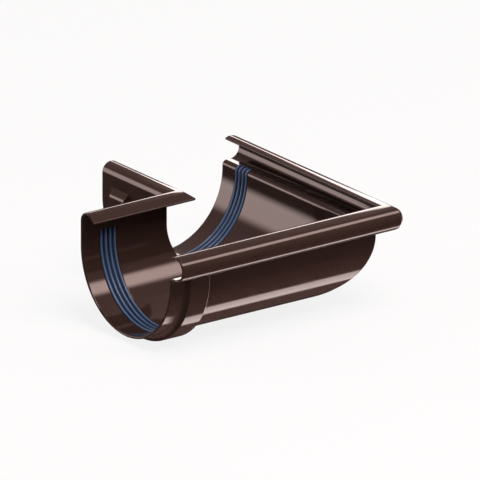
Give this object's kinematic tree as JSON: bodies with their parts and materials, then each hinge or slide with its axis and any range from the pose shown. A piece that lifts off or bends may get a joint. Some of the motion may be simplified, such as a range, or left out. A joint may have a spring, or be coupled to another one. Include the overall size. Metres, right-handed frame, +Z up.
{
  "type": "gutter external angle",
  "caption": "Half-round gutter external corner with a rolled bead outside, a folded back flange and a ribbed rubber seal in the socket at each open end.",
  "frame": {"origin": "middle of the overall box's base, on the floor under the two seat bands", "axes": "+Z up; the left leg runs along -X and the right leg along +Y from the corner, and the front bead is on the outside, at -Y and +X"},
  "size_m": [0.2484, 0.2484, 0.1064],
  "materials": {
    "brown_plastic": "moulded, glossy chocolate brown",
    "blue_rubber": "moulded, satin blue"
  },
  "bodies": {
    "root": {"angle_body": "brown_plastic", "seal_left_leg": "blue_rubber", "seal_right_leg": "blue_rubber"}
  },
  "joints": []
}
